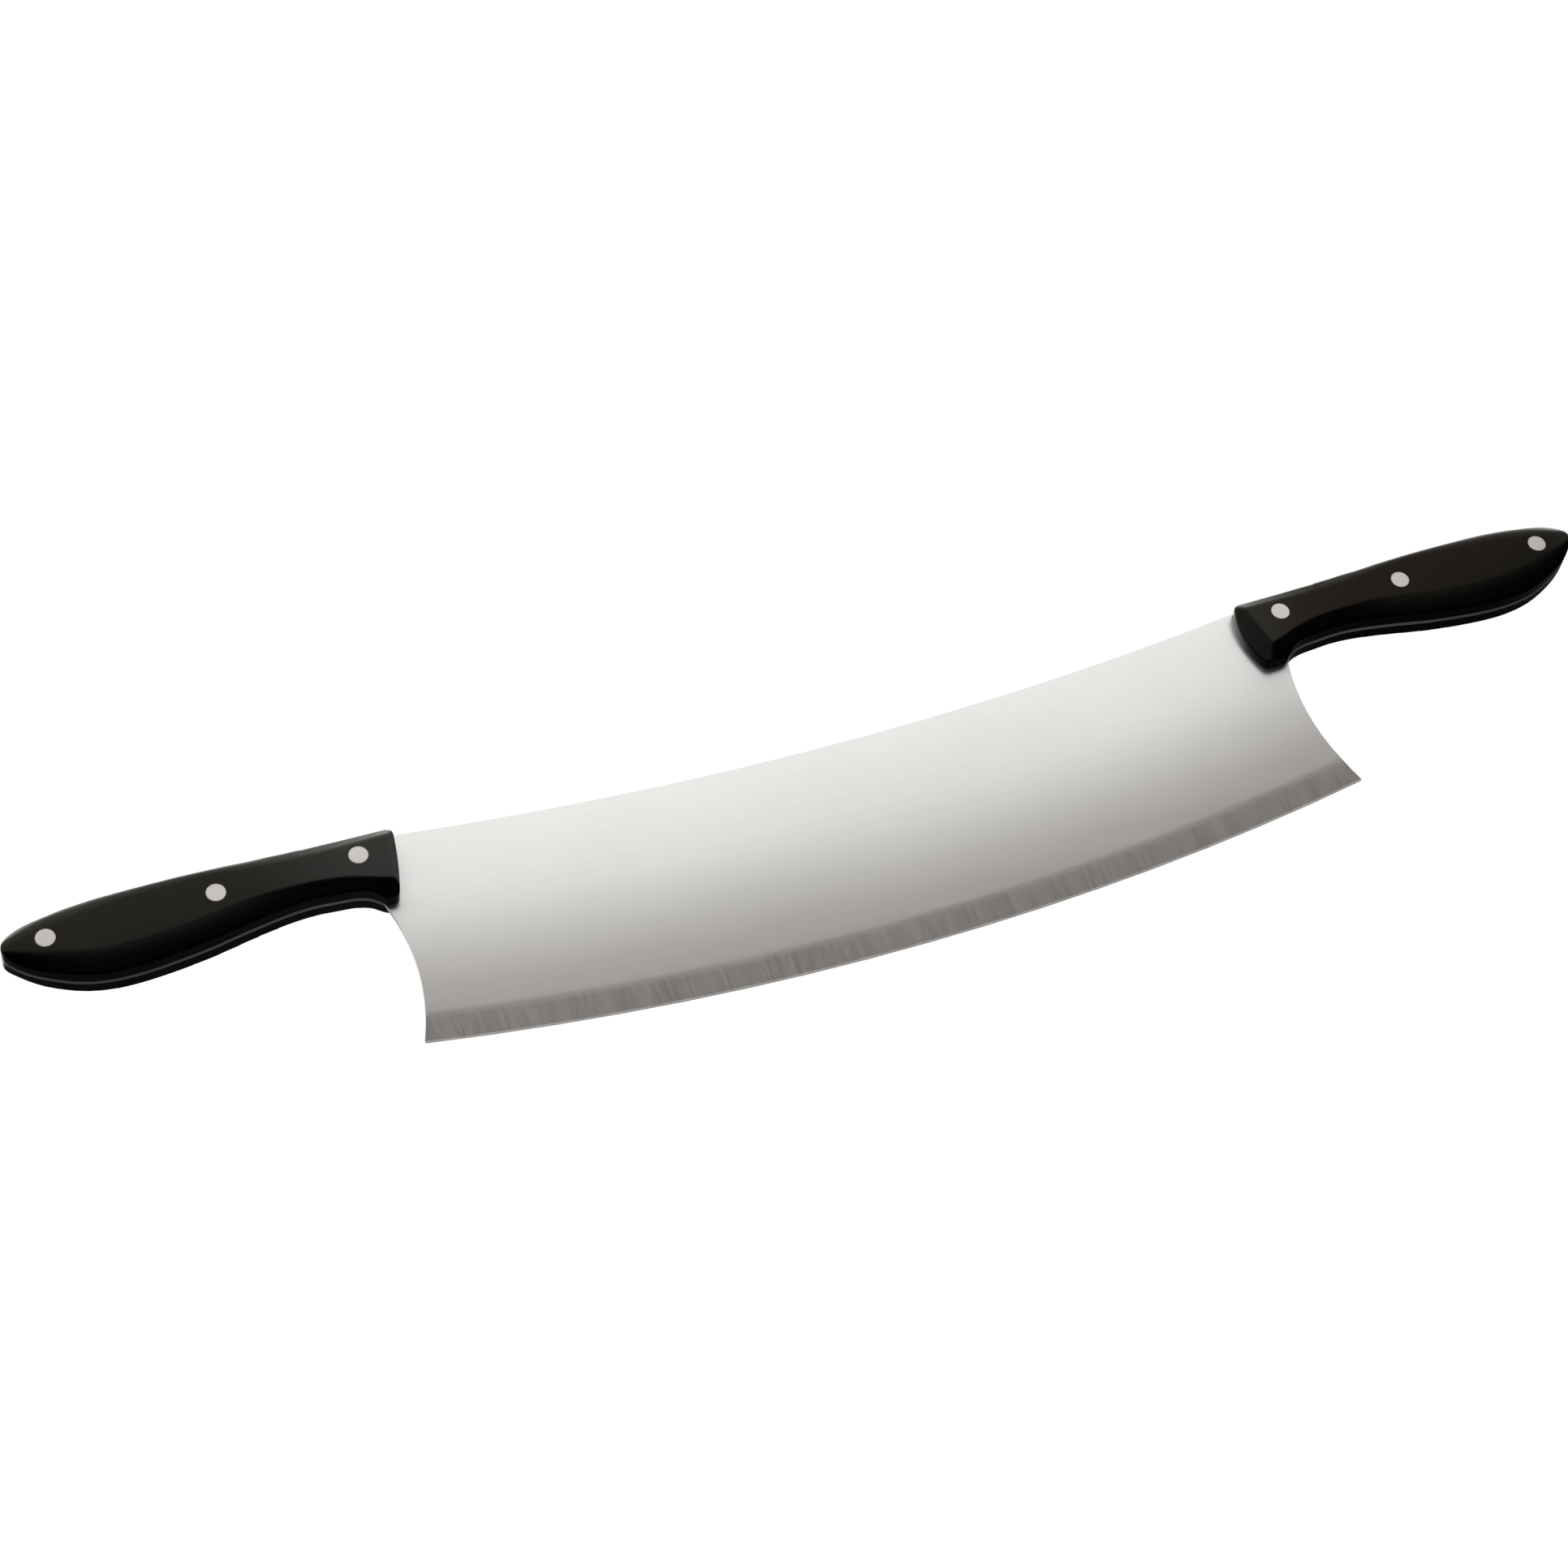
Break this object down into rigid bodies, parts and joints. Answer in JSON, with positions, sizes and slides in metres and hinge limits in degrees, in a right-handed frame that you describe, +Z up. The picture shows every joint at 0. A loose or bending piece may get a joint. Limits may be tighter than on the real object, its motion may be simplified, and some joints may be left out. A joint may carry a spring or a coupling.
{
  "type": "double-handled rocking knife",
  "caption": "Long rocking blade with a riveted full-tang handle at each end, a curved ground cutting edge and hollowed heels, lying flat on its side.",
  "frame": {"origin": "under the middle of the outline, on the plane the knife lies on", "axes": "+X along the length from one handle to the other, +Y towards the spine, +Z up through the blade's thickness"},
  "size_m": [0.5186, 0.0858, 0.0126],
  "materials": {
    "blade_steel": "satin, fine lengthwise brushing, darker cross-ground band along the cutting edge",
    "rivet_steel": "satin, ground flush with the scales",
    "handle_plastic": "satin black moulded plastic"
  },
  "bodies": {
    "root": {"blade": "blade_steel", "left_front_scale": "handle_plastic", "left_back_scale": "handle_plastic", "left_inner_rivet_tube": "rivet_steel", "left_inner_rivet_pin": "rivet_steel", "left_middle_rivet_tube": "rivet_steel", "left_middle_rivet_pin": "rivet_steel", "left_outer_rivet_tube": "rivet_steel", "left_outer_rivet_pin": "rivet_steel", "right_front_scale": "handle_plastic", "right_back_scale": "handle_plastic", "right_inner_rivet_tube": "rivet_steel", "right_inner_rivet_pin": "rivet_steel", "right_middle_rivet_tube": "rivet_steel", "right_middle_rivet_pin": "rivet_steel", "right_outer_rivet_tube": "rivet_steel", "right_outer_rivet_pin": "rivet_steel"}
  },
  "joints": []
}
